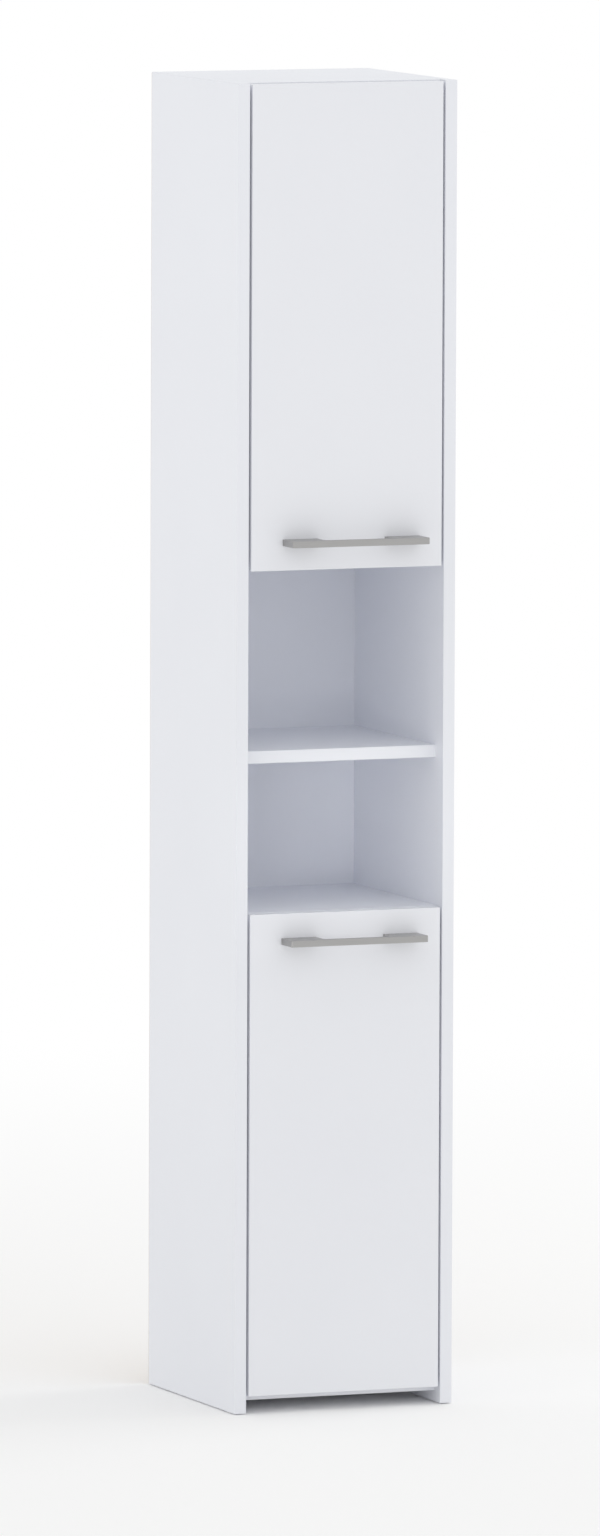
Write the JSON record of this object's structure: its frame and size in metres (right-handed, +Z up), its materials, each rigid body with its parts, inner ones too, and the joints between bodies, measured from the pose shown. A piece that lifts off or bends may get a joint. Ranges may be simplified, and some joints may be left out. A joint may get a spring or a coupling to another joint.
{
  "type": "tall bathroom cabinet",
  "caption": "Tall narrow white bathroom cabinet on the floor: hinged doors above and below an open two-level niche, loose shelves inside, bar handles.",
  "frame": {"origin": "on the floor, in the middle of the outline in X and Y, handles included", "axes": "+X from the left side to the right side as seen from the front, +Y from the front to the wall, +Z up"},
  "size_m": [0.3, 0.338, 1.7],
  "materials": {
    "white_board": "white melamine on particleboard, satin",
    "white_door": "white foil on MDF, satin",
    "back_sheet": "white lacquered hardboard",
    "beech": "plain",
    "handle_metal": "satin",
    "nickel_steel": "nickel plated",
    "zinc_steel": "zinc plated",
    "zinc_die_cast": "zinc die casting",
    "glide_plastic": "matt",
    "bumper_rubber": "soft, translucent"
  },
  "bodies": {
    "carcass": {"left_side_panel": "white_board", "right_side_panel": "white_board", "bottom_panel": "white_board", "lower_divider": "white_board", "niche_shelf": "white_board", "upper_divider": "white_board", "top_panel": "white_board", "lower_shelf": "white_board", "upper_shelf": "white_board", "back_panel": "back_sheet", "back_nails": "zinc_steel", "cam_locks": "zinc_die_cast", "cam_bolts": "zinc_steel", "dowels": "beech", "shelf_pins": "zinc_steel", "floor_glides": "glide_plastic", "wall_brackets": "zinc_steel", "wall_bracket_screws": "zinc_steel", "upper_hinge_plates": "nickel_steel", "upper_hinge_plate_screws": "zinc_steel", "upper_hinge_arms": "nickel_steel", "upper_hinge_arm_screws": "zinc_steel", "upper_hinge_arm_pins": "zinc_steel", "lower_hinge_plates": "nickel_steel", "lower_hinge_plate_screws": "zinc_steel", "lower_hinge_arms": "nickel_steel", "lower_hinge_arm_screws": "zinc_steel", "lower_hinge_arm_pins": "zinc_steel"},
    "upper_hinge_link_pair": {"upper_hinge_links": "nickel_steel"},
    "upper_door": {"upper_hinge_cups": "nickel_steel", "upper_hinge_cup_pins": "zinc_steel", "upper_hinge_cup_screws": "zinc_steel", "upper_door_panel": "white_door", "upper_door_bumpers": "bumper_rubber", "upper_handle": "handle_metal", "upper_handle_screws": "zinc_steel"},
    "lower_hinge_link_pair": {"lower_hinge_links": "nickel_steel"},
    "lower_door": {"lower_hinge_cups": "nickel_steel", "lower_hinge_cup_pins": "zinc_steel", "lower_hinge_cup_screws": "zinc_steel", "lower_door_panel": "white_door", "lower_door_bumpers": "bumper_rubber", "lower_handle": "handle_metal", "lower_handle_screws": "zinc_steel"}
  },
  "joints": [
    {"name": "upper_hinge_arm_pivots", "type": "hinge", "parent": "carcass", "child": "upper_hinge_link_pair", "pos_m": [-0.0975, -0.1185, 1.38925], "axis": [0, 0, 1], "range_deg": [0, 20]},
    {"name": "upper_hinge_cup_pivots", "type": "hinge", "parent": "upper_hinge_link_pair", "child": "upper_door", "pos_m": [-0.1212, -0.1255, 1.38925], "axis": [0, 0, -1], "range_deg": [0, 120]},
    {"name": "lower_hinge_arm_pivots", "type": "hinge", "parent": "carcass", "child": "lower_hinge_link_pair", "pos_m": [-0.0975, -0.1185, 0.33225], "axis": [0, 0, 1], "range_deg": [0, 20]},
    {"name": "lower_hinge_cup_pivots", "type": "hinge", "parent": "lower_hinge_link_pair", "child": "lower_door", "pos_m": [-0.1212, -0.1255, 0.33225], "axis": [0, 0, -1], "range_deg": [0, 120]}
  ],
  "couplings": [
    {"joint": "upper_hinge_arm_pivots", "follows": "upper_hinge_cup_pivots", "ratio": 0.16666},
    {"joint": "lower_hinge_arm_pivots", "follows": "lower_hinge_cup_pivots", "ratio": 0.16666}
  ]
}
